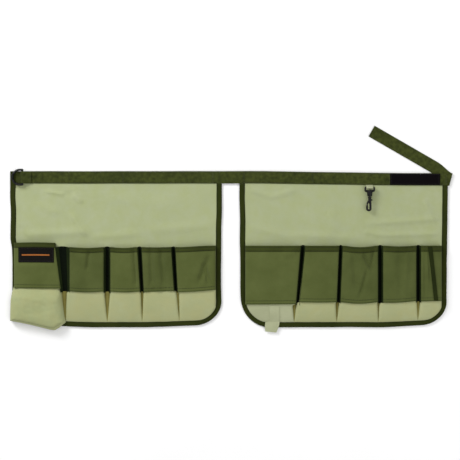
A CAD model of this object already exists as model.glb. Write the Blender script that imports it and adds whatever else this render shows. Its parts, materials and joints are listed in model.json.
import json
from math import cos, exp, hypot, pi, radians, sin, sqrt, tan

import bmesh
import bpy
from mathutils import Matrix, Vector, noise

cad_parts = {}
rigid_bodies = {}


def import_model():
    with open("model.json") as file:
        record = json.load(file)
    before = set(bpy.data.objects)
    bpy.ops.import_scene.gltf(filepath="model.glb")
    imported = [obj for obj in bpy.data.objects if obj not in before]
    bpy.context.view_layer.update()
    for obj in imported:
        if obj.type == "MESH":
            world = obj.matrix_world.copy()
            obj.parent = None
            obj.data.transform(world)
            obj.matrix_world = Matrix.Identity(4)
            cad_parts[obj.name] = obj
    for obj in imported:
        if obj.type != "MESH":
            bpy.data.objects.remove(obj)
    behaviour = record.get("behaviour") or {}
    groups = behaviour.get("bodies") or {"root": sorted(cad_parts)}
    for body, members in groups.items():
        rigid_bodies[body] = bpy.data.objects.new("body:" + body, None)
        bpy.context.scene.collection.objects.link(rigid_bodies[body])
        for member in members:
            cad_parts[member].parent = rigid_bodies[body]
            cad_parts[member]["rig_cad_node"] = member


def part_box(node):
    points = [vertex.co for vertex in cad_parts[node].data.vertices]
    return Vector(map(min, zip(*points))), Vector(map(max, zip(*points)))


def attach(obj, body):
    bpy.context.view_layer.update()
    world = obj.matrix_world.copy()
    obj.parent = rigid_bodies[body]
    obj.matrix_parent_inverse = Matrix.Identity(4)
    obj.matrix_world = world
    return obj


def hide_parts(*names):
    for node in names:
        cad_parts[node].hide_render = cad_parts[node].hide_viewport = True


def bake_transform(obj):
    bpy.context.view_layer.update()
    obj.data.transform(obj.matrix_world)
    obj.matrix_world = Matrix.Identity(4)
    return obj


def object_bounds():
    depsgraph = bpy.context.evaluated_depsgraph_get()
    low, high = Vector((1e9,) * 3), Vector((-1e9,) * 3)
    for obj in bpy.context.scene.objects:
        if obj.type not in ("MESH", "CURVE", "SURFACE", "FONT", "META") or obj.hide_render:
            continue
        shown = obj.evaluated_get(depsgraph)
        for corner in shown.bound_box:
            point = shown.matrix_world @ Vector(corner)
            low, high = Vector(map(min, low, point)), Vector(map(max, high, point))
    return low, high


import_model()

# A bucket-wrap organiser for garden hand tools, laid out flat: two pocketed canvas
# panels on one belt. Lengths are in metres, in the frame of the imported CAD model.

cad_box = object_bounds()
MM = 0.001
RIGHTWARD = Vector((1, 0, 0))
BACKWARD = Vector((0, 1, 0))
UP = Vector((0, 0, 1))


# ---- places from the frame

def low(node):
    return Vector(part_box(node)[0])


def high(node):
    return Vector(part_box(node)[1])


def box(node):
    return low(node), high(node)


def middle(node):
    return (low(node) + high(node)) / 2


BELT_X = middle("belt_bridge").x
BELT_Y = middle("belt_bridge").y
BELT_HALF = (high("belt_bridge").y - low("belt_bridge").y) / 2
BELT_LOW = low("belt_bridge").z
BELT_TOP = high("belt_bridge").z
CANVAS_TOP = high("left_backing").z
TAPE_W = 2 * (low("left_backing").x - low("left_binding").x)
TAPE_TOP = high("left_binding").z
FOLD_ANGLE = radians(75)
FOLD_X = high("belt_right_half").x - BELT_HALF / tan(FOLD_ANGLE)


class Panel:
    """One panel's outline, in mm: sides that lean in and wander a little, and rounded lower
    corners. tuck draws the left side in, from just above the pockets downwards. rises says
    how far the lower edge lifts at its left end and over what run, then the same at its right."""

    def __init__(self, side, corners, lean_left, lean_right, wider, sway, tuck, rises):
        self.side = side
        self.body = side + "_panel"
        self.left = low(side + "_binding").x
        self.right = high(side + "_binding").x + wider * MM
        self.bottom = low(side + "_binding").y
        self.top = high(side + "_binding").y
        self.lean_left = lean_left * MM
        self.lean_right = lean_right * MM
        self.sway = sway * MM
        self.tuck = tuck * MM
        self.tuck_run = 24 * MM
        self.tuck_y = high(side + "_pocket_1").y + self.tuck_run / 2
        self.corners = [radius * MM for radius in corners]
        self.rises = [length * MM for length in rises]

    def side_x(self, y, right):
        """Where a side's outer edge lies at this y, before its corner."""
        down = (self.top - y) / (self.top - self.bottom)
        wander = self.sway * noise.noise(Vector((y / (45 * MM), 7.0 * right, self.left)))
        if right:
            return self.right - self.lean_right * down + wander
        drawn_in = self.tuck * smooth((self.tuck_y - y) / self.tuck_run)
        return self.left + self.lean_left * down + wander + drawn_in

    def edges(self, y, inset):
        """The outline's left and right edges at this y, moved in by inset."""
        foot = self.bottom + inset
        cuts = []
        for corner in self.corners:
            r = corner - inset
            t = clamp01((foot + r - y) / r)
            cuts.append(r * (1 - sqrt(1 - t * t)))
        left = self.side_x(y, False) + inset + cuts[0]
        return (left, self.side_x(y, True) - inset - cuts[1])

    def settle(self, p):
        """Moves a point as the real cloth lies, with the lower edge out of line at its ends."""
        down = max(0.0, (self.top - p.y) / (self.top - self.bottom))
        left_rise, left_run, right_rise, right_run = self.rises
        lift = left_rise * smooth(1 - (p.x - self.left) / left_run)
        lift += right_rise * smooth(1 - (self.right - p.x) / right_run)
        return p + Vector((0, lift * down ** 4, 0))


PANELS = {
    "left": Panel("left", (46, 52), 2.0, 2.0, 0.5, 1.4, 3, (5, 190, 5, 170)),
    "right": Panel("right", (62, 50), 3.0, 3.5, 2.0, 0.8, 0, (-1, 120, 6, 150)),
}


def settled(body, p):
    for panel in PANELS.values():
        if panel.body == body:
            return panel.settle(Vector(p))
    return p


# ---- small maths

def lerp(a, b, t):
    return a + (b - a) * t


def clamp01(t):
    return min(1.0, max(0.0, t))


def smooth(t):
    t = clamp01(t)
    return t * t * (3 - 2 * t)


def ripple(x, y, size, seed):
    """Smooth noise from about -1 to 1 whose bumps are this far apart."""
    return noise.noise(Vector((x / size, y / size, seed)))


def crease(x, y, start, end, width, height):
    """Height at x, y of a soft fold that runs from start to end and fades at both."""
    ax, ay = start
    dx, dy = end[0] - ax, end[1] - ay
    t = ((x - ax) * dx + (y - ay) * dy) / (dx * dx + dy * dy)
    beyond, fade = 0.3, 0.45
    if t < -beyond or t > 1 + beyond:
        return 0.0
    across = ((x - ax) * dy - (y - ay) * dx) / hypot(dx, dy)
    along = smooth((t + beyond) / fade) * smooth((1 + beyond - t) / fade)
    return height * along * exp(-(across / width) ** 2)


# ---- mesh building

SHARP = radians(50)


def add_object(name, data):
    obj = bpy.data.objects.new(name, data)
    bpy.context.scene.collection.objects.link(obj)
    return obj


def piece(name, verts, faces, materials, body):
    mesh = bpy.data.meshes.new(name)
    mesh.from_pydata([tuple(settled(body, v)) for v in verts], [], faces)
    mesh.validate()
    for material in materials:
        mesh.materials.append(material)
    mesh.polygons.foreach_set("use_smooth", [True] * len(mesh.polygons))
    obj = add_object(name, mesh)
    if body:
        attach(obj, body)
    return obj


def grid_faces(rows, cols, closed=False):
    wrap = cols if closed else cols - 1
    return [
        (i * cols + j, i * cols + (j + 1) % cols, (i + 1) * cols + (j + 1) % cols, (i + 1) * cols + j)
        for i in range(rows - 1)
        for j in range(wrap)
    ]


def grid(point, down, across):
    """Rows of what point(v, u) gives, with v and u running from 0 to 1 down and across."""
    return [[point(i / down, j / across) for j in range(across + 1)] for i in range(down + 1)]


def apply_modifiers(obj):
    graph = bpy.context.evaluated_depsgraph_get()
    mesh = bpy.data.meshes.new_from_object(obj.evaluated_get(graph))
    mesh.name = obj.name
    obj.modifiers.clear()
    obj.data = mesh
    mesh.set_sharp_from_angle(angle=SHARP)


def cloth(name, rows, thickness, material, body):
    """A sheet through a grid of points, given thickness below its face."""
    cols = len(rows[0])
    verts = [p for row in rows for p in row]
    obj = piece(name, verts, grid_faces(len(rows), cols), [material], body)
    solid = obj.modifiers.new("thickness", "SOLIDIFY")
    solid.thickness = thickness
    solid.offset = 1 if faces_down(obj) else -1
    apply_modifiers(obj)
    return obj


def faces_down(obj):
    return sum(f.normal.z * f.area for f in obj.data.polygons) < 0


def strap(name, centres, sides, half, t, material, body):
    """Flat webbing: a rounded strip of this half width and thickness t along centres. sides
    gives each station's direction across, and its direction up."""
    ring = []
    for k in range(9):
        a = -1 + k / 4
        ring.append((a, 0.5 * (1 - 0.55 * abs(a) ** 14)))
    ring += [(a, -b) for a, b in reversed(ring)]
    verts = []
    for centre, (across, up) in zip(centres, sides):
        for a, b in ring:
            verts.append(centre + across * (a * half) + up * (b * t))
    obj = capped_run(name, verts, len(ring), material, body)
    obj.data.set_sharp_from_angle(angle=SHARP)
    return obj


def capped_run(name, verts, cols, material, body):
    """A solid run of rings of cols points each, closed by a flat face at both ends."""
    faces = grid_faces(len(verts) // cols, cols, closed=True)
    faces.append(tuple(range(cols)))
    faces.append(tuple(reversed(range(len(verts) - cols, len(verts)))))
    obj = piece(name, verts, faces, [material], body)
    fix_normals(obj)
    return obj


def fix_normals(obj):
    bm = bmesh.new()
    bm.from_mesh(obj.data)
    bmesh.ops.recalc_face_normals(bm, faces=bm.faces)
    bm.to_mesh(obj.data)
    bm.free()


SEAMS = {}
STITCH_PITCH = 3.2 * MM
STITCH_LENGTH = 2.6 * MM
STITCH_GIRTH = 0.65 * MM


def seam(body, thread, points):
    """Notes a row of stitches along a run of points; make_seams builds them."""
    stitches = SEAMS.setdefault((body, thread), [])
    carried = 0.0
    for a, b in zip(points, points[1:]):
        run = (b - a).length
        if run < 1e-7:
            continue
        step = (b - a) / run
        while carried < run:
            stitches.append((a + step * carried, step))
            carried += STITCH_PITCH
        carried -= run


def make_seams(materials):
    """One piece for each body and thread: every stitch is a small pointed bead."""
    for (body, thread), stitches in SEAMS.items():
        verts, faces = [], []
        for at, step in stitches:
            side = step.cross(UP).normalized()
            up = side.cross(step)
            n = len(verts)
            verts += [at - step * STITCH_LENGTH / 2, at + step * STITCH_LENGTH / 2]
            verts += [at + out * STITCH_GIRTH for out in (side, up, -side, -up)]
            for k in range(4):
                a, b = n + 2 + k, n + 2 + (k + 1) % 4
                faces += [(n, b, a), (n + 1, a, b)]
        piece(f"{body}_{thread}_stitches", verts, faces, [materials[thread]], body)


# ---- materials

STUDIO = 0.9


def rgb(r, g, b):
    """A screen colour from 0 to 255 as a shader's linear colour, dimmed because the studio's
    light is strong enough to turn the pale floor white."""
    shares = (r / 255, g / 255, b / 255)
    return tuple(
        STUDIO * (c / 12.92 if c <= 0.04045 else ((c + 0.055) / 1.055) ** 2.4) for c in shares
    ) + (1.0,)


class Maker:
    """A new node material and short ways to add to it."""

    def __init__(self, name):
        self.material = bpy.data.materials.new(name)
        self.material.use_nodes = True
        self.nodes = self.material.node_tree.nodes
        self.links = self.material.node_tree.links
        self.shader = self.nodes["Principled BSDF"]
        self.place = self.nodes.new("ShaderNodeTexCoord").outputs["Object"]

    def give(self, socket, value):
        """Sets a socket to a fixed value, or links another node's output to it."""
        if isinstance(value, bpy.types.NodeSocket):
            self.links.new(value, socket)
        else:
            socket.default_value = value

    def add(self, kind, values, **settings):
        """A new node, with what its inputs are given and how it is set."""
        node = self.nodes.new(kind)
        for key, setting in settings.items():
            setattr(node, key, setting)
        for key, value in values.items():
            self.give(node.inputs[key], value)
        return node

    def noise(self, per_metre, detail=3.0, rough=0.55):
        values = {"Vector": self.place, "Scale": per_metre, "Detail": detail, "Roughness": rough}
        return self.add("ShaderNodeTexNoise", values).outputs["Fac"]

    def threads(self, direction, pitch, distortion=0.6):
        """Bands this far apart along X, Y or Z, wandering a little as yarn does."""
        values = {"Vector": self.place, "Scale": pi / 10 / pitch, "Distortion": distortion,
                  "Detail": 1.0, "Detail Scale": 1.4}
        return self.add("ShaderNodeTexWave", values, bands_direction=direction).outputs["Fac"]

    def maths(self, operation, a, b):
        return self.add("ShaderNodeMath", {0: a, 1: b}, operation=operation).outputs[0]

    def spread(self, value, lowest, highest):
        """The middle of a noise's range, stretched to run from lowest to highest."""
        values = {"Value": value, "From Min": 0.3, "From Max": 0.7, "To Min": lowest, "To Max": highest}
        return self.add("ShaderNodeMapRange", values).outputs[0]

    def blend(self, share, a, b):
        """Colour a turning into colour b as share goes from 0 to 1."""
        return self.add("ShaderNodeMix", {0: share, 6: a, 7: b}, data_type="RGBA").outputs[2]

    def bump(self, height, distance, strength, **under):
        values = {"Height": height, "Distance": distance, "Strength": strength, **under}
        return self.add("ShaderNodeBump", values).outputs[0]

    def finish(self, colour, roughness, values):
        """Feeds the shader and returns the finished material."""
        self.give(self.shader.inputs["Base Color"], colour)
        self.give(self.shader.inputs["Roughness"], roughness)
        for key, value in values.items():
            self.give(self.shader.inputs[key], value)
        return self.material


def canvas(name, dark, light, pitch=0.9 * MM, sheen=0.06, tint=None):
    """Plain-weave polyester canvas: yarn bump, soft patches of shade and a dull sheen."""
    m = Maker(name)
    weave = m.maths("MULTIPLY", m.threads("X", pitch), m.threads("Y", pitch))
    colour = m.blend(m.spread(m.noise(22, 4.0), 0.0, 1.0), dark, light)
    if tint is not None:
        colour = m.blend(m.spread(m.noise(45, 2.0), 0.0, 0.6), colour, tint)
    yarn = m.blend(m.maths("MULTIPLY", weave, 0.25), colour, light)
    slubs = m.bump(m.noise(900, 2.0), 0.10 * MM, 0.5)
    return m.finish(yarn, m.spread(m.noise(300), 0.78, 0.95), {
        "Normal": m.bump(weave, 0.22 * MM, 0.7, Normal=slubs),
        "Sheen Weight": sheen,
        "Sheen Roughness": 0.6,
        "Specular IOR Level": 0.1,
    })


def webbing(name, dark, light, pitch=1.5 * MM):
    """Ribbed webbing: strong cross ribs, broken into yarns, with a duller worn face."""
    m = Maker(name)

    def mixed(a, share_a, b, share_b):
        return m.maths("ADD", m.maths("MULTIPLY", a, share_a), m.maths("MULTIPLY", b, share_b))

    height = mixed(m.threads("X", pitch, 0.9), 0.7, m.threads("Y", pitch * 1.3, 0.9), 0.5)
    wear = mixed(m.noise(150, 5.0), 0.7, m.noise(24, 2.0), 0.3)
    worn = m.blend(m.spread(wear, 0.0, 1.0), dark, light)
    colour = m.blend(m.maths("MULTIPLY", height, 0.25), worn, light)
    return m.finish(colour, m.spread(m.noise(250), 0.62, 0.85), {
        "Normal": m.bump(height, 0.3 * MM, 0.8),
        "Sheen Weight": 0.03,
        "Specular IOR Level": 0.12,
    })


def pile(name, colour, tip):
    """Loop or hook pile: a dense fuzz of tiny bumps that hardly shines."""
    m = Maker(name)
    fuzz = m.noise(1600, 4.0, 0.7)
    return m.finish(m.blend(m.spread(fuzz, 0.0, 1.0), colour, tip), m.spread(m.noise(200), 0.85, 1.0), {
        "Normal": m.bump(fuzz, 0.5 * MM, 1.0),
        "Sheen Weight": 0.02,
        "Specular IOR Level": 0.05,
    })


def plastic(name, colour, scuff):
    """Moulded plastic, scuffed lighter in patches."""
    m = Maker(name)
    scuffed = m.blend(m.spread(m.noise(180, 5.0), 0.0, 0.5), colour, scuff)
    return m.finish(scuffed, m.spread(m.noise(420), 0.38, 0.55), {
        "Normal": m.bump(m.noise(2500), 0.05 * MM, 0.4),
        "Specular IOR Level": 0.25,
    })


def wire(name, colour, worn):
    """Dark plated wire, rubbed brighter in patches."""
    m = Maker(name)
    rubbed = m.blend(m.spread(m.noise(160, 6.0), 0.0, 1.0), colour, worn)
    return m.finish(rubbed, m.spread(m.noise(500), 0.28, 0.45), {
        "Normal": m.bump(m.noise(1800), 0.03 * MM, 0.3),
        "Metallic": 1.0,
    })


SAGE = canvas("sage canvas", rgb(168, 176, 136), rgb(174, 181, 143), tint=rgb(165, 173, 120))
OLIVE = canvas("olive canvas", rgb(79, 88, 41), rgb(91, 100, 52))
DEEP_OLIVE = canvas("deep olive canvas", rgb(73, 82, 38), rgb(85, 94, 48))
KHAKI = canvas("khaki canvas", rgb(166, 171, 125), rgb(174, 179, 136), tint=rgb(174, 173, 120))
PLEAT = canvas("pleat canvas", rgb(3, 10, 1), rgb(7, 15, 3), sheen=0.0)
GUSSET = canvas("gusset canvas", rgb(20, 31, 7), rgb(34, 45, 15), sheen=0.0)
PALE = canvas("pale canvas", rgb(166, 171, 135), rgb(182, 186, 150))
POUCH = canvas("pouch canvas", rgb(159, 166, 119), rgb(169, 176, 132), tint=rgb(168, 168, 117))
TAN = canvas("tan fold canvas", rgb(112, 104, 48), rgb(135, 130, 70))
TAPE = canvas("binding tape", rgb(35, 43, 2), rgb(47, 54, 7), pitch=0.7 * MM, sheen=0.04)
BAND = canvas("slant band tape", rgb(23, 31, 3), rgb(36, 44, 8), pitch=0.7 * MM, sheen=0.02)
HEM = canvas("hem tape", rgb(48, 55, 15), rgb(62, 70, 26), pitch=0.7 * MM, sheen=0.04)
WEBBING = webbing("webbing", rgb(25, 32, 1), rgb(72, 80, 31))
PILE = pile("loop pile", rgb(6, 4, 5), rgb(16, 12, 15))
LABEL = canvas("label cloth", rgb(8, 6, 3), rgb(16, 13, 10), pitch=0.4 * MM, sheen=0.02)
MARK = canvas("label mark", rgb(150, 84, 34), rgb(172, 104, 50), pitch=0.4 * MM, sheen=0.02)
PLASTIC = plastic("black plastic", rgb(3, 3, 3), rgb(14, 14, 13))
STEEL = wire("dark steel", rgb(24, 25, 26), rgb(62, 63, 63))
THREADS = {
    "dark": canvas("dark thread", rgb(26, 32, 12), rgb(36, 42, 18), pitch=0.3 * MM),
    "pale": canvas("pale thread", rgb(120, 126, 88), rgb(140, 146, 104), pitch=0.3 * MM),
    "olive": canvas("olive thread", rgb(40, 46, 20), rgb(92, 98, 60), pitch=0.3 * MM),
    "black": canvas("black thread", rgb(20, 18, 18), rgb(36, 34, 34), pitch=0.3 * MM),
}


# ---- backing panels

FOLDS = {
    # Soft folds in each backing: from and to, in mm right of and below its top left corner,
    # then the fold's half width and its height
    "left": [
        (78, 17, 112, 23, 4, 1.6), (112, 23, 131, 22, 4, -1.4), (131, 22, 146, 38, 5, 1.6),
        (130, 68, 155, 104, 6, 1.8), (14, 88, 32, 118, 5, -2.0), (40, 106, 150, 100, 9, 1.6),
        (60, 46, 98, 60, 9, 0.9), (215, 30, 320, 44, 14, 0.8), (300, 96, 400, 88, 10, 1.2),
        (180, 110, 260, 104, 7, 1.0), (2, 60, 20, 88, 5, 1.4),
    ],
    "right": [
        (283, 82, 398, 74, 6, 1.8), (262, 100, 292, 106, 5, 1.2), (300, 107, 402, 104, 5, 1.4),
        (24, 14, 62, 26, 6, 1.3), (68, 28, 112, 14, 6, 1.3), (30, 92, 110, 112, 9, 1.0),
        (120, 106, 230, 112, 8, 1.2), (190, 60, 196, 100, 12, 0.9), (384, 40, 402, 78, 5, 1.2),
    ],
}


def backing_height(panel, x, y):
    lift = 0.9 * MM * ripple(x, y, 60 * MM, 1.0) + 0.25 * MM * ripple(x, y, 22 * MM, 4.0)
    for x0, y0, x1, y1, width, height in FOLDS[panel.side]:
        start = (panel.left + x0 * MM, panel.top - y0 * MM)
        end = (panel.left + x1 * MM, panel.top - y1 * MM)
        lift += crease(x, y, start, end, width * MM, 1.4 * height * MM)
    left, right = panel.edges(y, TAPE_W)
    calm = smooth((panel.top - y) / (12 * MM)) * smooth((x - left) / (14 * MM))
    calm *= smooth((right - x) / (14 * MM))
    return max(-0.5 * MM, lift * calm)


def make_backing(panel):
    top = panel.top + 4 * MM
    foot = panel.bottom + TAPE_W / 2
    even = 0.86

    def point(v, u):
        if v > even:
            v = even + (1 - even) * sin((v - even) / (1 - even) * pi / 2)
        y = lerp(top, foot, v)
        x = lerp(*panel.edges(min(y, panel.top), TAPE_W / 2), u)
        return Vector((x, y, CANVAS_TOP + backing_height(panel, x, y)))

    obj = cloth(panel.side + "_canvas_back", grid(point, 110, 150), 0.9 * MM, SAGE, panel.body)
    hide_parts(panel.side + "_backing")


# ---- binding tape

def outline_path(panel, inset, step):
    """Points down the left side, along the bottom and up the right side."""
    foot = panel.bottom + inset
    sides = []
    for corner in panel.corners:
        r = corner - inset
        ys = []
        y = panel.top
        while y > foot + r:
            ys.append(y)
            y -= step
        turns = 14
        ys += [foot + r * (1 - sin(k / turns * pi / 2)) for k in range(turns + 1)]
        sides.append(ys)
    left = [Vector((panel.edges(v, inset)[0], v, 0)) for v in sides[0]]
    right = [Vector((panel.edges(v, inset)[1], v, 0)) for v in reversed(sides[1])]
    gap = right[0].x - left[-1].x
    count = int(gap / step)
    wave = 0.8 * MM
    bottom = []
    for k in range(1, count):
        x = left[-1].x + gap * k / count
        fade = smooth(4 * k / count) * smooth(4 * (1 - k / count))
        bottom.append(Vector((x, foot + wave * fade * ripple(x, 0, 70 * MM, panel.left), 0)))
    return left + bottom + right


def tangent(path, i):
    a = path[max(0, i - 1)]
    b = path[min(len(path) - 1, i + 1)]
    return (b - a).normalized()


def make_binding(panel):
    """Tape folded over the edge: a plump inner lip, a flatter face and a rolled outer edge."""
    half = TAPE_W / 2
    path = outline_path(panel, half, 5 * MM)
    section = []
    for k in range(13):
        turn = pi * k / 12
        rest = 0.5 * MM if k < 6 else CANVAS_TOP - 0.2 * MM
        section.append((cos(turn), rest, sin(turn) ** 0.35))
    verts = []
    for i, p in enumerate(path):
        t = tangent(path, i)
        outward = Vector((t.y, -t.x, 0)) * -1
        puff = 1 + 0.10 * ripple(p.x, p.y, 18 * MM, 9.0)
        for a, rest, b in section:
            z = lerp(rest, TAPE_TOP * puff + 0.4 * MM, b)
            verts.append(Vector((p.x, p.y, z)) + outward * (a * half))
        for a in (-0.96, 0.0, 0.96):
            verts.append(Vector((p.x, p.y, 0.1 * MM)) - outward * (a * half))
    cols = len(verts) // len(path)
    obj = capped_run(panel.side + "_tape", verts, cols, TAPE, panel.body)
    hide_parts(panel.side + "_binding")
    inner = outline_path(panel, TAPE_W - 1.6 * MM, 5 * MM)
    lift = UP * (TAPE_TOP + 0.5 * MM)
    seam(panel.body, "dark", [p + lift for p in inner])


def make_end_tape():
    """Binding carried up over the belt's left end."""
    panel = PANELS["left"]
    z = BELT_TOP + 0.5 * MM
    ys = [lerp(BELT_Y + BELT_HALF - 1 * MM, BELT_Y - BELT_HALF - 9 * MM, k / 12) for k in range(13)]
    centres = []
    for y in ys:
        x = panel.side_x(min(y, panel.top), False) + TAPE_W / 2
        over_belt = smooth((y - BELT_Y + BELT_HALF + 4 * MM) / (4 * MM))
        centres.append(Vector((x, y, lerp(TAPE_TOP, z, over_belt))))
    sides = [(RIGHTWARD, UP)] * len(ys)
    strap("belt_end_tape", centres, sides, TAPE_W / 2, 1.0 * MM, TAPE, "left_panel")


# ---- pockets

SHOULDER = 4.5 * MM
# Height kept free below the CAD's top for the front's crown
CROWN_ROOM = 1.0 * MM
WALL_STEPS = 3
BEND_STEPS = 4


class Pocket:
    """A pocket's four corners from its CAD box, and how its cloth sags and creases, in mm.
    A crease runs from one place to another, both as shares of the front's width and height,
    then has a half width and a height. fold moves the tan fold on the pocket's left: the
    top's two ends, then the point."""

    def __init__(self, side, number, lean, slope, mouth_sag, foot_sag, creases=(),
                 lower=0, wider=0, tilt=0, over=0, fold=(0, 0, 0), material=OLIVE):
        name = f"{side}_pocket_{number}"
        self.side, self.number, self.name = side, number, name
        self.panel = PANELS[side]
        self.body = self.panel.body
        lo, hi = box(name)
        lean_l, lean_r = lean
        self.top_left = lo.x + (max(0.0, -lean_l) - over) * MM
        self.foot_left = lo.x + (max(0.0, lean_l) - over) * MM
        self.top_right = hi.x - max(0.0, lean_r) * MM
        self.foot_right = hi.x - max(0.0, -lean_r) * MM + wider * MM
        self.mouth_y = hi.y
        self.foot_y = lo.y - lower * MM
        self.floor = lo.z
        self.depth = hi.z - lo.z
        self.height = self.mouth_y - self.foot_y
        self.count = max(18, int((self.top_right - self.top_left) / (2 * MM)))
        self.columns = self.count + 1 + 2 * (WALL_STEPS + BEND_STEPS)
        self.slope = slope * MM
        self.mouth_sag = mouth_sag * MM
        self.tilt = tilt * MM
        self.foot_sag = foot_sag * MM
        self.creases = creases
        self.material = material
        self.fold = [shift * MM for shift in fold]

    def mouth_line(self, a):
        """How far the mouth's edge drops between its ends, a running 0 to 1 across."""
        return self.tilt * smooth(a) - self.mouth_sag * sin(pi * clamp01(a))

    def foot_line(self, a):
        return -self.foot_sag * sin(pi * clamp01(a)) + self.slope * (a - 0.5)

    def ends(self, v):
        """The front's left and right edges, v running from the mouth down to the foot."""
        return lerp(self.top_left, self.foot_left, v), lerp(self.top_right, self.foot_right, v)

    def y_at(self, a, v):
        return lerp(self.mouth_y + self.mouth_line(a), self.foot_y + self.foot_line(a), v)

    def folds(self, a, v):
        """The creases' height at a across and v down the front."""
        height = 0.0
        w, h = self.top_right - self.top_left, self.height
        for a0, v0, a1, v1, width, lift in self.creases:
            start, end = (a0 * w, v0 * h), (a1 * w, v1 * h)
            height += crease(a * w, v * h, start, end, 1.25 * width * MM, 2.3 * lift * MM)
        deepest = lerp(-6.0, -1.4, smooth((v - 0.65) / 0.25)) * MM
        return max(height, deepest)


def profile(left, right, floor, height, count):
    """(x, z, a) across a pocket: up one gusset, over rounded shoulders and down the other.
    a runs 0 to 1 across the flat top."""
    r = min(SHOULDER, height * 0.9)
    points = []
    for k in range(WALL_STEPS):
        points.append((left, floor + (height - r) * k / WALL_STEPS, 0.0))
    for k in range(BEND_STEPS):
        turn = pi / 2 * k / BEND_STEPS
        points.append((left + r * (1 - cos(turn)), floor + height - r + r * sin(turn), 0.0))
    for k in range(count + 1):
        a = k / count
        points.append((lerp(left + r, right - r, a), floor + height, a))
    other = [(left + right - x, z, 1.0) for x, z, _ in points[:WALL_STEPS + BEND_STEPS]]
    return points + other[::-1]


def relief(p, a, v, x, y):
    """How far the front stands off its flat shape: a gaping mouth, a crown and its folds."""
    dome = 1 - (2 * a - 1) ** 2
    gape = 1.6 * MM * dome * (1 - v) ** 3
    crown = 1.6 * MM * dome * (1 - 0.5 * v)
    wrinkles = 0.5 * MM * ripple(x, y, 17 * MM, p.number) * min(1.0, 3 * dome)
    return gape + crown + wrinkles + p.folds(a, v) * min(1.0, 4 * dome)


def front_point(p, index, v, lift=0.0):
    """A point of a pocket's front, by its column and by v from the mouth down to the foot."""
    left, right = p.ends(v)
    x, z, a = profile(left, right, p.floor, p.depth - CROWN_ROOM, p.count)[index]
    y = p.y_at(a, v)
    return Vector((x, y, z + relief(p, a, v, x, y) + lift))


def on_front(p, a, v, lift):
    """A point of the front's face, a running from its left shoulder to its right."""
    left, right = p.ends(v)
    x = lerp(left + SHOULDER, right - SHOULDER, a)
    y = p.y_at(a, v)
    return Vector((x, y, p.floor + p.depth - CROWN_ROOM + relief(p, a, v, x, y) + lift))


def seam_across(p, v, lift):
    """Stitches across a front at v, from one shoulder to the other."""
    first = WALL_STEPS + 2
    points = [front_point(p, j, v, lift) for j in range(first, p.columns - first)]
    seam(p.body, "dark", points)


def make_front(p):
    down = 46
    rows = [[front_point(p, j, i / down) for j in range(p.columns)] for i in range(down + 1)]
    obj = cloth(p.name + "_front", rows, 0.8 * MM, p.material, p.body)
    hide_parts(p.name)
    for above_foot in (7.5 * MM, 1.8 * MM):
        seam_across(p, 1 - above_foot / p.height, 0.15 * MM)


def make_hem(p):
    """Tape over the mouth: down the front, rolled over the edge and tucked inside."""
    name = f"{p.side}_hem_{p.number}"
    hem_w = (high(name).y - low(name).y) * (1.2 if p.side == "right" else 1.0)
    stations = (
        # share of the tape's width below the edge, lift off the cloth in mm, mm beyond the edge
        (1, 0.2, 0), (0.93, 0.64, 0), (0.5, 0.8, 0), (0.12, 0.72, 0),
        (0, 0.4, 0.5), (0, -0.48, 0.9), (0.12, -1.2, 0), (0.6, -1.28, 0),
    )
    rows = []
    for share, lift, beyond in stations:
        row = []
        for j in range(WALL_STEPS, p.columns - WALL_STEPS):
            at = front_point(p, j, hem_w * share / p.height, lift * MM)
            row.append(at + BACKWARD * (beyond * MM))
        rows.append(row)
    obj = cloth(p.name + "_hem_tape", rows, 0.35 * MM, HEM, p.body)
    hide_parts(name)
    for share in (0.85, 0.2):
        seam_across(p, hem_w * share / p.height, 1.0 * MM)


def base_rise(p, v):
    """Height of a base over the backing, v running from under the front to the binding."""
    return (p.depth - 3.4 * MM) * max(0.02, cos(clamp01(v) * pi / 2) ** 0.75)


def fold_corners(near, far):
    """The tan fold below the pleat between two pockets: its top's two ends and its point."""
    left, right, point = far.fold
    between = (near.foot_right + far.foot_left) / 2
    return near.foot_right + left, far.foot_left + right, between + point


def make_base(p, near, far, material):
    """The light lower part: it slopes from under the front down to the binding, and its
    sides meet those of the bases next to it, so that the fold between closes to a point."""
    top_left = low_left = p.foot_left
    top_right = low_right = p.foot_right
    if near:
        _, top_left, low_left = fold_corners(near, p)
    if far:
        top_right, _, low_right = fold_corners(p, far)
    node = f"{p.side}_base_{p.number}"
    start = p.foot_y + 4 * MM
    foot = low(node).y - 1.5 * MM
    down = 26
    rows = []
    for i in range(down + 1):
        v = i / down
        y_mid = lerp(start, foot, v)
        shown = smooth((p.foot_y - y_mid) / (2 * MM))
        left = lerp(p.foot_left, lerp(top_left, low_left, v), shown)
        right = lerp(p.foot_right, lerp(top_right, low_right, v), shown)
        inner_left, inner_right = p.panel.edges(y_mid, TAPE_W - 2 * MM)
        left = max(left, inner_left)
        right = min(right, inner_right)
        row = []
        for x, z, a in profile(left, right, p.floor, base_rise(p, v), p.count):
            y = y_mid + p.foot_line(a) * (1 - v)
            dome = 1 - (2 * a - 1) ** 2
            z += 0.8 * MM * dome * (1 - v) + 0.35 * MM * dome * ripple(x, y, 14 * MM, p.number + 20.0)
            row.append(Vector((x, y, z)))
        rows.append(row)
    obj = cloth(p.name + "_foot", rows, 0.7 * MM, material, p.body)
    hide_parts(node)
    size = (p.foot_right - p.foot_left + p.depth, hypot(p.foot_y - foot, p.depth))


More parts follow.
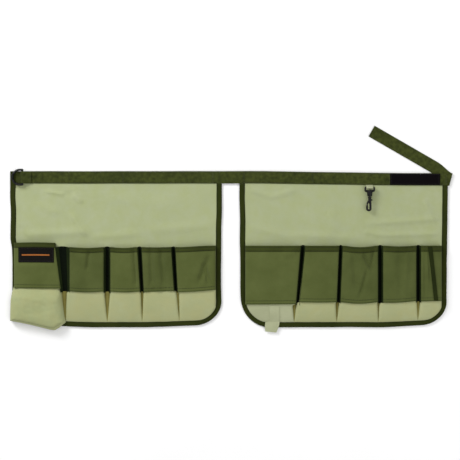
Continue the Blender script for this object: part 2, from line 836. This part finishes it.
def make_pleats(side, pockets):
    """The trough of cloth between two pockets: gussets fall from both shoulders to a dark
    floor, and below the fronts a tan fold closes to a point at the binding."""
    panel = PANELS[side]
    floor = low(side + "_pleats").z
    foot = low(side + "_pleats").y
    verts, faces, dark = [], [], []
    fold_verts, fold_faces = [], []
    wall = ((0.0, 0.8), (0.1, 0.62), (0.24, 0.25), (0.4, 0.08))
    shape = wall + tuple((1 - a, rise) for a, rise in reversed(wall))
    for near, far in zip(pockets, pockets[1:]):
        for i in range(13):
            v = i / 12
            left = near.ends(v)[1] - 0.6 * MM
            right = far.ends(v)[0] + 0.6 * MM
            mouth = min(near.mouth_y, far.mouth_y)
            n = len(verts)
            for a, rise in shape:
                bulge = 2.2 * MM * (1 - (2 * a - 1) ** 2)
                y = lerp(mouth + bulge, min(near.foot_y, far.foot_y) - 2 * MM, v)
                verts.append(Vector((lerp(left, right, a), y, floor + 0.4 * MM + near.depth * rise)))
            if i:
                for k in range(len(shape) - 1):
                    faces.append((n - len(shape) + k, n + k, n + k + 1, n - len(shape) + k + 1))
                    dark.append(k in (2, 3, 4))
        left, right, point = fold_corners(near, far)
        for i in range(9):
            v = i / 8
            n = len(fold_verts)
            for a in (0.0, 0.5, 1.0):
                x = lerp(min(left, point) - 1 * MM, max(right, point) + 1 * MM, a)
                hump = 6.0 * MM * (1 - v) * (1 - (2 * a - 1) ** 2)
                y = lerp(min(near.foot_y, far.foot_y), foot, v)
                fold_verts.append(Vector((x, y, floor + 0.5 * MM + hump)))
            if i:
                fold_faces += [(n - 3, n, n + 1, n - 2), (n - 2, n + 1, n + 2, n - 1)]
    obj = piece(side + "_pleats_cloth", verts, faces, [GUSSET, PLEAT], panel.body)
    fix_normals(obj)
    obj.data.polygons.foreach_set("material_index", [int(d) for d in dark])
    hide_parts(side + "_pleats")
    folds = piece(side + "_pleat_folds", fold_verts, fold_faces, [TAN], panel.body)
    fix_normals(folds)


def make_label(p):
    """A plain black label with a stitched border and one plain stripe."""
    lo, hi = box("blank_label")

    def patch(name, left, right, top, foot, lift, material):
        def point(t, u):
            v = (p.mouth_y - lerp(top, foot, t)) / p.height
            start = p.ends(v)[0] + SHOULDER
            width = p.ends(v)[1] - SHOULDER - start
            return on_front(p, (lerp(left, right, u) - start) / width, v, lift)

        rows = grid(point, 12, 24)
        return rows, cloth(name, rows, 0.4 * MM, material, "left_panel")

    lo += Vector((2 * MM, 0, 0))
    hi += Vector((2 * MM, 1.5 * MM, 0))
    rows, label = patch("plain_label", lo.x, hi.x, hi.y, lo.y, 1.0 * MM, LABEL)
    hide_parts("blank_label")
    middle_y = (lo.y + hi.y) / 2
    half = 1.4 * MM
    left, right = lo.x + 7 * MM, hi.x - 9 * MM
    patch("label_stripe", left, right, middle_y + half, middle_y - half, 1.4 * MM, MARK)
    lift = UP * (0.3 * MM)
    edge = rows[1][1:-1] + [r[-2] for r in rows[1:-1]] + rows[-2][-2:0:-1] + [r[1] for r in rows[-2:0:-1]]
    seam("left_panel", "black", [q + lift for q in edge])


def make_slant_band(p):
    """Tape sewn on a slant across the narrow last pocket."""
    def point(t, u):
        v = lerp(0.01, 0.99, t)
        return on_front(p, lerp(0.41, 0.78, v) + 0.12 * (2 * u - 1), v, 1.9 * MM)

    cloth("slant_band", grid(point, 30, 4), 0.5 * MM, BAND, p.body)


def make_tab(p):
    """The loose end of the first right pocket's base, folded out over the binding."""
    left = p.panel.left
    foot = p.panel.bottom
    stations = (
        # mm above the panel's foot, then the left and right edges in mm from its left side
        (45, 61, 82), (30, 62, 82), (17, 63, 82), (12.5, 60, 82.5),
        (11, 53.5, 83), (4, 52.5, 82), (-14, 53.5, 75),
    )
    rows = []
    for (y0, l0, r0), (y1, l1, r1) in zip(stations, stations[1:]):
        for k in range(5):
            t = k / 5
            y = foot + lerp(y0, y1, t) * MM
            rise = p.floor + base_rise(p, (p.foot_y - y) / (p.foot_y - foot - 11 * MM)) + 1.2 * MM
            z = max(rise, TAPE_TOP + 1.4 * MM) if y < foot + 18 * MM else rise
            row = []
            for j in range(11):
                x = left + lerp(lerp(l0, l1, t), lerp(r0, r1, t), j / 10) * MM
                slant = 2.5 * MM * (1 - j / 10) * smooth((foot - y) / (10 * MM))
                row.append(Vector((x, y + slant, z + 0.4 * MM * ripple(x, y, 11 * MM, 2.0))))
            rows.append(row)
    obj = cloth("loose_tab", rows, 0.8 * MM, PALE, p.body)
    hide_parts("base_tab")


def make_pouch(p):
    """The bellows pouch: it swells from under the front, hangs over the binding and ends in
    a slanted double-folded edge that comes to a blunt point."""
    panel = p.panel
    top_z = high("left_pouch").z
    # At shares of the way down, the left and right edges in mm from the panel's left side
    sides = ((0.0, 8.0, 106.5), (0.18, 4.0, 107.5), (0.4, 1.0, 109.0), (0.8, 0.2, 112.0), (1.0, 0.0, 115.5))
    # At shares of the way across, the foot in mm above the panel's own
    foot = ((0.0, 9.0), (0.35, 1.0), (0.72, -8.5), (0.8, -9.2), (0.88, -3.0), (1.0, 9.0))

    def along(table, t, column):
        for a, b in zip(table, table[1:]):
            if t <= b[0]:
                return lerp(a[column], b[column], (t - a[0]) / (b[0] - a[0]))
        return table[-1][column]

    def point(v, u):
        x = panel.left + lerp(along(sides, v, 1), along(sides, v, 2), u) * MM
        y = lerp(p.foot_y + 4 * MM, panel.bottom + along(foot, u, 1) * MM, v)
        across_rise = (1 - abs(2 * u - 1) ** 7) ** 0.6
        foot_rise = (1 - v ** 12) ** 0.5
        head = lerp(0.46, 1.0, smooth(v / 0.35))
        rise = min(across_rise, foot_rise) * head
        wrinkle = 1.3 * MM * ripple(x, y, 26 * MM, 5.0) + 0.7 * MM * ripple(x, y, 9 * MM, 6.0)
        z = lerp(TAPE_TOP + 0.5 * MM, top_z - 2 * MM, rise) + wrinkle * rise
        hem_fold = exp(-((1 - v) / 0.035 - 1.6) ** 2 * 4)
        return Vector((x, y, z - 1.3 * MM * hem_fold * across_rise))

    rows = grid(point, 44, 56)
    obj = cloth("pouch", rows, 0.9 * MM, POUCH, "left_panel")
    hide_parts("left_pouch")
    seam("left_panel", "pale", [q + UP * (0.3 * MM) for q in rows[-4][4:-4]])


# ---- belt and tail

def belt_centre(x):
    """The belt's centre line: it wanders a few millimetres and dips towards its right end."""
    across = (x - BELT_X) / (FOLD_X - BELT_X)
    dip = -4.6 * MM * smooth(across)
    wander = 0.9 * MM * ripple(x, 0, 120 * MM, 3.0)
    return Vector((x, BELT_Y + dip + wander, (BELT_LOW + BELT_TOP) / 2))


def fold_point():
    """Where the belt's centre line meets the slanted line that it folds over."""
    dip = belt_centre(FOLD_X).y - BELT_Y
    return Vector((FOLD_X + dip / tan(FOLD_ANGLE), BELT_Y + dip, 0))


def make_belt():
    start = low("belt_left_half").x
    end = fold_point().x - 0.2 * MM
    steps = 300
    centres, sides = [], []
    for i in range(steps + 1):
        x = lerp(start, end, i / steps)
        lean = smooth((x - end + 70 * MM) / (70 * MM)) / tan(FOLD_ANGLE)
        centres.append(belt_centre(x))
        sides.append((Vector((lean, 1, 0)), UP))
    obj = strap("belt", centres, sides, BELT_HALF, BELT_TOP - BELT_LOW, WEBBING, None)
    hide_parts("belt_left_half", "belt_bridge", "belt_right_half")
    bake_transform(obj)


def make_bar_tacks():
    """Rows of stitches across the belt where it is sewn to the panels and to itself."""
    top = UP * ((BELT_TOP - BELT_LOW) / 2 + 0.1 * MM)
    tacks = {"left": (32, 232, 418), "right": (8, 150, 310, 425)}
    reach = BACKWARD * (BELT_HALF - 1.5 * MM)
    for side, places in tacks.items():
        panel = PANELS[side]
        for place in places:
            for shift in (0, 2.5):
                centre = belt_centre(panel.left + (place + shift) * MM) + top
                seam(panel.body, "olive", [centre - reach, centre + reach])
        xs = [lerp(panel.left + 14 * MM, panel.right - 8 * MM, k / 60) for k in range(61)]
        for edge in (-1, 1):
            out = BACKWARD * (edge * (BELT_HALF - 2.2 * MM))
            seam(panel.body, "olive", [belt_centre(x) + top + out for x in xs])


def make_loop_patch():
    lo, hi = box("loop_patch")
    xs = [lerp(lo.x, hi.x, k / 40) for k in range(41)]
    centres = [belt_centre(x) + UP * (1.3 * MM) for x in xs]
    half = (hi.y - lo.y) / 2 - 0.4 * MM
    obj = strap("loop_pile_patch", centres, [(BACKWARD, UP)] * len(xs), half, hi.z - lo.z,
                PILE, "right_panel")
    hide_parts("loop_patch")
    corners = []
    for a, b in ((1, 1), (-2, 1), (-2, -1), (1, -1), (1, 1)):
        reach = Vector((0, b * (BELT_HALF - 2.5 * MM), 1.9 * MM))
        corners.append(belt_centre(xs[a]) + reach)
    seam("right_panel", "black", corners)


def make_keeper():
    """Webbing folded round the ring's bar, both ends sewn to the belt."""
    lo, hi = box("ring_keeper")
    t = 1.1 * MM
    radius = (hi.z - lo.z) / 2 - t / 2
    bar_z = (lo.z + hi.z) / 2
    bar_x = lo.x + (hi.z - lo.z) / 2
    end = hi.x
    path = [Vector((lerp(end, bar_x, k / 8), BELT_Y, bar_z - radius)) for k in range(8)]
    ups = [-UP] * len(path)
    for k in range(17):
        turn = pi / 2 + pi * k / 16
        spoke = Vector((cos(turn), 0, -sin(turn)))
        path.append(Vector((bar_x, BELT_Y, bar_z)) + spoke * radius)
        ups.append(spoke)
    for k in range(1, 9):
        z = lerp(bar_z + radius, BELT_TOP + 1.6 * t, smooth(k / 7))
        path.append(Vector((lerp(bar_x, end, k / 8), BELT_Y, z)))
        ups.append(UP)
    sides = [(BACKWARD, up) for up in ups]
    obj = strap("keeper", path, sides, BELT_HALF - 0.6 * MM, t, WEBBING, "left_panel")
    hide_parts("ring_keeper")
    reach = BACKWARD * (BELT_HALF - 2 * MM)
    for x in (end - 2 * MM, end - 6 * MM):
        at = Vector((x, BELT_Y, BELT_TOP + 2.3 * t))
        seam("left_panel", "olive", [at - reach, at + reach])


def make_ribbon():
    """Cloth ribbon from under the belt's edge, folded round the eye's bar."""
    lo, hi = box("hook_ribbon")
    t = 0.9 * MM
    x = (lo.x + hi.x) / 2
    bar = (low("swivel_eye").z + high("swivel_eye").z) / 2
    radius = hi.z - bar - t / 2
    eye_y = lo.y + hi.z - bar
    start = Vector((x, belt_centre(x).y - BELT_HALF + 0.5 * MM, BELT_LOW - 0.2 * MM))
    end = start - UP * (1 * MM)
    over = Vector((x, eye_y + radius * 0.3, bar + radius * 0.95))
    under = Vector((x, eye_y - radius * 0.2, bar - radius))
    path, ups = [], []
    for k in range(9):
        path.append(start.lerp(over, k / 8))
        ups.append(Vector((0, 0.35, 0.93)))
    for k in range(1, 12):
        turn = pi * 0.42 + pi * k / 12
        spoke = Vector((0, cos(turn), sin(turn)))
        path.append(Vector((x, eye_y, bar)) + spoke * radius)
        ups.append(spoke)
    for k in range(9):
        path.append(under.lerp(end, (k + 1) / 9))
        ups.append(Vector((0, -0.35, -0.93)))
    sides = [(RIGHTWARD, up) for up in ups]
    obj = strap("ribbon_loop", path, sides, (hi.x - lo.x) / 2, t, PALE, "right_panel")
    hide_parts("hook_ribbon")


def make_tail():
    """The belt's free end, folded under it on a slanted line."""
    away = pi - 2 * (pi / 2 - FOLD_ANGLE)
    along = Vector((cos(away), sin(away), 0))
    side = Vector((-along.y, along.x, 0))
    lo, hi = box("belt_tail")
    length = (hi.y - BELT_Y - BELT_HALF * abs(side.y)) / along.y + 3 * MM
    z = (lo.z + hi.z) / 2
    steps = 60
    centres, sides = [], []
    for i in range(steps + 1):
        s = lerp(0.3 * MM, length, i / steps)
        lean = (1 - smooth(s / (30 * MM))) / tan(FOLD_ANGLE)
        bend = -5.4 * MM * smooth(s / (42 * MM))
        centres.append(fold_point() + UP * z + along * s + side * bend)
        sides.append((side - along * lean, UP))
    obj = strap("tail_strap", centres, sides, BELT_HALF, hi.z - lo.z, WEBBING, "tail")
    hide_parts("belt_tail")
    tape_lo, tape_hi = box("tail_hook_tape")
    down = UP * ((tape_lo.z + tape_hi.z) / 2 - z)
    taped = slice(25, 58)
    obj = strap("hook_pile_tape", [c + down for c in centres[taped]], sides[taped],
                BELT_HALF - 0.7 * MM, tape_hi.z - tape_lo.z, PILE, "tail")
    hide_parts("tail_hook_tape")
    make_fold_roll(lo.z)


def make_fold_roll(lowest):
    """The rounded edge where the belt turns under itself."""
    radius = (BELT_TOP - lowest) / 2
    slope = Vector((1 / tan(FOLD_ANGLE), 1, 0))
    outward = Vector((slope.y, -slope.x, 0)).normalized()
    centre = fold_point() + Vector((-0.3 * MM, 0, lowest + radius))

    def point(v, u):
        turn = pi * (u - 0.5)
        at = centre + slope * (lerp(-1, 1, v) * BELT_HALF)
        return at + outward * (radius * cos(turn)) + UP * (radius * sin(turn))

    verts = [p for row in grid(point, 20, 8) for p in row]
    obj = piece("fold_roll", verts, grid_faces(21, 9), [WEBBING], None)
    fix_normals(obj)
    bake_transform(obj)


# ---- fittings

def tube(name, path, radii, flat, material, body, sides=16):
    """A round bar along a path in the XY plane; flat squeezes its height."""
    verts = []
    for i, (p, r) in enumerate(zip(path, radii)):
        t = tangent(path, i)
        across = Vector((t.y, -t.x, 0))
        for k in range(sides):
            turn = 2 * pi * k / sides
            verts.append(p + across * (r * cos(turn)) + UP * (flat * r * sin(turn)))
    obj = capped_run(name, verts, sides, material, body)
    obj.data.set_sharp_from_angle(angle=radians(40))
    return obj


def make_eye():
    """A bar in the ribbon, two horn-like legs and the barrel that the hook turns in."""
    lo, hi = box("swivel_eye")
    x, z = (lo.x + hi.x) / 2, middle("hook_body").z
    wire_r = 1.7 * MM
    half = (hi.x - lo.x) / 2 - wire_r
    bar_y = hi.y - wire_r
    foot_y = bar_y - 7.6 * MM
    right = [
        (0.0, bar_y),
        (half - 2.5 * MM, bar_y),
        (half - 0.4 * MM, bar_y - 0.3 * MM),
        (half, bar_y - 2 * MM),
        (half, bar_y - 4.5 * MM),
        (half - 0.8 * MM, foot_y + 0.6 * MM),
        (half - 3 * MM, foot_y),
        (0.0, foot_y - 0.4 * MM),
    ]
    corners = right + [(-dx, y) for dx, y in right[-2:0:-1]]
    path, radii = [], []
    for (ax, ay), (bx, by) in zip(corners, corners[1:] + corners[:1]):
        for k in range(4):
            y = lerp(ay, by, k / 4)
            path.append(Vector((x + lerp(ax, bx, k / 4), y, z)))
            radii.append(lerp(2.4 * MM, wire_r, clamp01((y - foot_y) / (4 * MM))))
    path += path[:2]
    radii += radii[:2]
    tube("swivel_eye_loop", path, radii, 0.95, PLASTIC, "eye")
    # Each station's mm below the bar, and its radius in mm
    barrel = (
        (5.8, 2.5), (6.0, 4.6), (7.0, 5.5), (10.5, 5.6), (14.0, 5.5),
        (16.8, 5.2), (17.6, 4.8), (18.4, 4.2), (18.7, 3.2),
    )
    path = [Vector((x, bar_y - d * MM, z)) for d, _ in barrel]
    obj = tube("swivel_barrel", path, [r * MM for _, r in barrel], 1.0, PLASTIC, "eye", 28)
    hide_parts("swivel_eye")


def make_snap_hook():
    """One moulded piece: the swivel pin and its head, a collar, a neck and the open bow."""
    lo, hi = box("hook_body")
    x, z = middle("swivel_eye").x, middle("hook_body").z
    # Each station's mm below the pin's top, and its radius in mm
    pin = ((0.0, 3.1), (2.0, 3.1), (2.01, 1.9), (7.4, 1.9), (7.41, 3.9), (9.3, 4.0), (9.6, 3.3), (13.5, 3.2))
    path = [Vector((x, hi.y - d * MM, z)) for d, _ in pin]
    radii = [r * MM for _, r in pin]
    bow_x = x - 2.0 * MM
    bow_r = 3.5 * MM
    wire_r = 2.2 * MM
    top = hi.y - 23 * MM
    foot = lo.y + bow_r + wire_r
    for k in range(1, 7):
        t = k / 6
        path.append(Vector((lerp(x, bow_x + bow_r, smooth(t)), lerp(hi.y - 14 * MM, top, t), z)))
        radii.append(lerp(3.2 * MM, wire_r, t ** 2))
    for k in range(19):
        turn = pi * k / 18
        path.append(Vector((bow_x + bow_r * cos(turn), foot - bow_r * sin(turn), z)))
        radii.append(wire_r)
    tip = hi.y - 24.2 * MM
    for k in range(1, 6):
        path.append(Vector((bow_x - bow_r, lerp(foot, tip, k / 5), z)))
        radii.append(wire_r * (1 - 0.25 * (k / 5) ** 3))
    obj = tube("snap_hook_body", path, radii, 1.0, PLASTIC, "hook")
    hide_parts("hook_body")


def make_gate():
    """The spring lever that closes the bow's mouth, with its thumb tab."""
    x, z = middle("swivel_eye").x, middle("hook_gate").z
    lo, hi = box("hook_gate")
    pivot = Vector((x, middle("gate_pin").y, z))
    tip = Vector((x - 5.6 * MM, lo.y + 0.4 * MM, z))
    path = [Vector((hi.x, pivot.y, z)), Vector((hi.x - 1.5 * MM, pivot.y, z)), pivot]
    for k in range(1, 6):
        bow = 0.9 * MM * sin(pi * k / 5)
        path.append(pivot.lerp(tip, k / 5) - RIGHTWARD * bow)
    radii = [v * MM for v in (1.2, 1.7, 2.4, 2.2, 2.0, 1.9, 1.7, 1.5)]
    obj = tube("snap_hook_gate", path, radii, 0.62, PLASTIC, "gate")
    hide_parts("hook_gate")


def make_fittings():
    """The CAD fittings keep their own shapes and take their real finishes."""
    finishes = {"d_ring": STEEL, "gate_pin": STEEL}
    for obj in bpy.data.objects:
        finish = finishes.get(obj.get("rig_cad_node"))
        if finish is not None:
            obj.data.materials.clear()
            obj.data.materials.append(finish)


# ---- stage, light, camera

def make_stage():
    mesh = bpy.data.meshes.new("floor")
    reach = 6.0
    corners = [(x * reach, y * reach, -0.0002) for x, y in ((-1, -1), (1, -1), (1, 1), (-1, 1))]
    mesh.from_pydata(corners, [], [(0, 1, 2, 3)])
    m = Maker("pale floor")
    paper = m.blend(m.spread(m.noise(3), 0.0, 1.0), (0.93, 0.93, 0.93, 1), (0.96, 0.96, 0.96, 1))
    mesh.materials.append(m.finish(paper, 0.9, {"Specular IOR Level": 0.1}))
    add_object("floor", mesh)


def make_light(name, place, size, power):
    data = bpy.data.lights.new(name, "AREA")
    data.size = size
    data.energy = power
    obj = add_object(name, data)
    obj.location = place
    obj.rotation_euler = Vector(place).to_track_quat("Z", "Y").to_euler()


def make_world():
    world = bpy.data.worlds.new("studio")
    world.use_nodes = True
    world.node_tree.nodes["Background"].inputs["Color"].default_value = (1, 1, 1, 1)
    world.node_tree.nodes["Background"].inputs["Strength"].default_value = 0.62
    bpy.context.scene.world = world
    bpy.context.scene.view_settings.view_transform = "Standard"


def make_camera():
    """Straight above, far off, with the object across nearly the whole picture."""
    lens, sensor = 100.0, 36.0
    margin = 1.041
    view_width = (cad_box[1][0] - cad_box[0][0]) * margin
    data = bpy.data.cameras.new("camera")
    data.lens = lens
    data.sensor_width = sensor
    obj = add_object("camera", data)
    obj.location = (-2.9 * MM, -0.4 * MM, view_width * lens / sensor)
    bpy.context.scene.camera = obj


# ---- the whole object

LEFT = [
    Pocket("left", 1, (0, 7), -0.5, -0.8, 0.5,
           [(0.1, 0.5, 0.9, 0.46, 6, 0.5)],
           lower=-6, wider=5, over=3),
    Pocket("left", 2, (0, 0), 0.0, 1.5, 1.5,
           [(0.58, 0.1, 0.52, 0.45, 3.5, -1.8), (0.3, 0.1, 0.3, 0.8, 12, 0.6)],
           fold=(0, -5, 0), material=DEEP_OLIVE),
    Pocket("left", 3, (0, 6), 0.0, 1.5, 1.5,
           [(0.93, 0.05, 0.96, 0.9, 5, -1.7)],
           fold=(-0.5, 0.5, 0)),
    Pocket("left", 4, (4.5, 6), 1.5, 0.5, 0.0,
           [(0.27, 0.05, 0.27, 0.95, 5, -2.0), (0.68, 0.05, 0.72, 0.95, 5, -1.8)],
           material=DEEP_OLIVE),
    Pocket("left", 5, (5, 0), 4.0, 0.0, 1.0,
           [(0.6, 0.75, 0.84, 0.3, 5, -2.3), (0.74, 0.45, 0.86, 0.8, 4, -2.6)],
           tilt=3, fold=(3, 3, 7)),
]
RIGHT = [
    Pocket("right", 1, (0, -10), 0.0, 0.0, 0.0,
           [(0.72, 0.15, 0.95, 0.1, 6, 0.8)],
           lower=4),
    Pocket("right", 2, (-12, -5), 0.0, 0.0, 0.5,
           fold=(-8, -5, -7)),
    Pocket("right", 3, (-5, 0), 0.0, 3.0, 3.0,
           [(0.62, 0.15, 0.85, 0.4, 3, -1.8), (0.85, 0.35, 0.9, 0.1, 3, -1.6),
            (0.3, 0.2, 0.42, 0.7, 6, -1.5), (0.7, 0.45, 0.52, 0.85, 3, -1.6)],
           fold=(-3, -1, -3), material=DEEP_OLIVE),
    Pocket("right", 4, (0, 0), 2.0, 1.5, 1.2,
           [(0.5, 0.1, 0.55, 0.9, 7, -1.2), (0.75, 0.2, 0.62, 0.9, 5, 0.8)],
           fold=(-1.5, -6.5, -3.5), material=DEEP_OLIVE),
    Pocket("right", 5, (0, 0), 0.0, 0.0, 0.0,
           [(0.3, 0.05, 0.42, 0.6, 2.5, -1.1), (0.12, 0.1, 0.12, 0.9, 3, -0.8)],
           material=DEEP_OLIVE),
]

for panel in PANELS.values():
    make_binding(panel)
    make_backing(panel)
for row in (LEFT, RIGHT):
    for k, pocket in enumerate(row):
        make_front(pocket)
        make_hem(pocket)
        if pocket.name != "left_pocket_1":
            near = row[k - 1] if k else None
            far = row[k + 1] if k < len(row) - 1 else None
            make_base(pocket, near, far, PALE if pocket.name == "right_pocket_1" else KHAKI)
    make_pleats(row[0].side, row)
make_end_tape()
make_label(LEFT[0])
make_pouch(LEFT[0])
make_slant_band(RIGHT[4])
make_tab(RIGHT[0])
make_belt()
make_bar_tacks()
make_loop_patch()
make_keeper()
make_ribbon()
make_tail()
make_eye()
make_snap_hook()
make_gate()
make_fittings()
make_seams(THREADS)

make_stage()
make_world()
make_light("key", (-1.5, 1.5, 1.3), 0.9, 41)
make_light("fill", (1.3, -0.6, 2.0), 2.2, 18)
make_camera()
